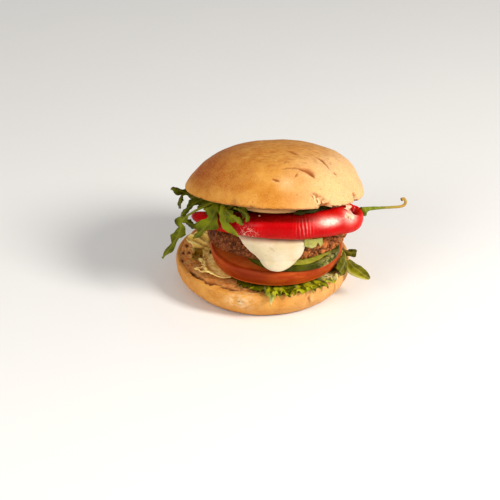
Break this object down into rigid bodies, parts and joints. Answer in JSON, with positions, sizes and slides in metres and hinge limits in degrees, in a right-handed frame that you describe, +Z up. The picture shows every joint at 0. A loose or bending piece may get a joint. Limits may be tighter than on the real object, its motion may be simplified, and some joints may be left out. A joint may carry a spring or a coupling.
{
  "type": "burger",
  "caption": "Stacked burger in a round bun with a thick patty, tomato and cucumber slices, salad leaves, sauce and a whole red chili hanging out with its stem.",
  "frame": {"origin": "middle of the heel's flat underside, on the surface the burger stands on", "axes": "+Z up through the stack; +X to the side where the chili's stem hangs out; -Y to the front, where the chili and the sauce show"},
  "size_m": [0.142, 0.1057, 0.0917],
  "materials": {
    "crown_crust": "golden-brown baked crust with a soft sheen",
    "heel_crust": "golden baked crust with a toasted cut edge",
    "lettuce_green": "fresh green leaf, slightly waxy",
    "lettuce_pale": "pale cream-green leaf, slightly waxy",
    "tomato_flesh": "moist tomato skin and flesh",
    "cucumber_skin": "dark green waxy skin with paler flesh",
    "patty_meat": "coarse browned minced meat",
    "sauce": "thick glossy cream sauce",
    "chili_skin": "glossy roasted red skin",
    "chili_stem": "dry green stem with a dark tip",
    "onion": "soft browned onion",
    "rocket_heap": "dark green leaves in shadow",
    "rocket_leaf": "mid green leaf, slightly waxy",
    "plain_leaf": "fresh green leaf, slightly waxy"
  },
  "bodies": {
    "root": {"bun_bottom": "heel_crust", "bun_top": "crown_crust", "chili": "chili_skin", "chili_stem": "chili_stem", "cucumber_slice": "cucumber_skin", "leaf_right_long": "plain_leaf", "leaf_right_low": "plain_leaf", "leaf_right_round": "plain_leaf", "leaf_scrap": "plain_leaf", "leaf_under_bun": "plain_leaf", "lettuce_frilled": "lettuce_green", "lettuce_pale_back": "lettuce_pale", "lettuce_pale_front": "lettuce_pale", "onion_slice": "onion", "patty": "patty_meat", "rocket_heap": "rocket_heap", "rocket_leaf_1": "rocket_leaf", "rocket_leaf_2": "rocket_leaf", "rocket_leaf_3": "rocket_leaf", "rocket_leaf_4": "rocket_leaf", "rocket_leaf_5": "rocket_leaf", "rocket_leaf_6": "rocket_leaf", "rocket_leaf_7": "rocket_leaf", "rocket_leaf_8": "rocket_leaf", "rocket_leaf_9": "rocket_leaf", "sauce": "sauce", "tomato_slice": "tomato_flesh"}
  },
  "joints": []
}
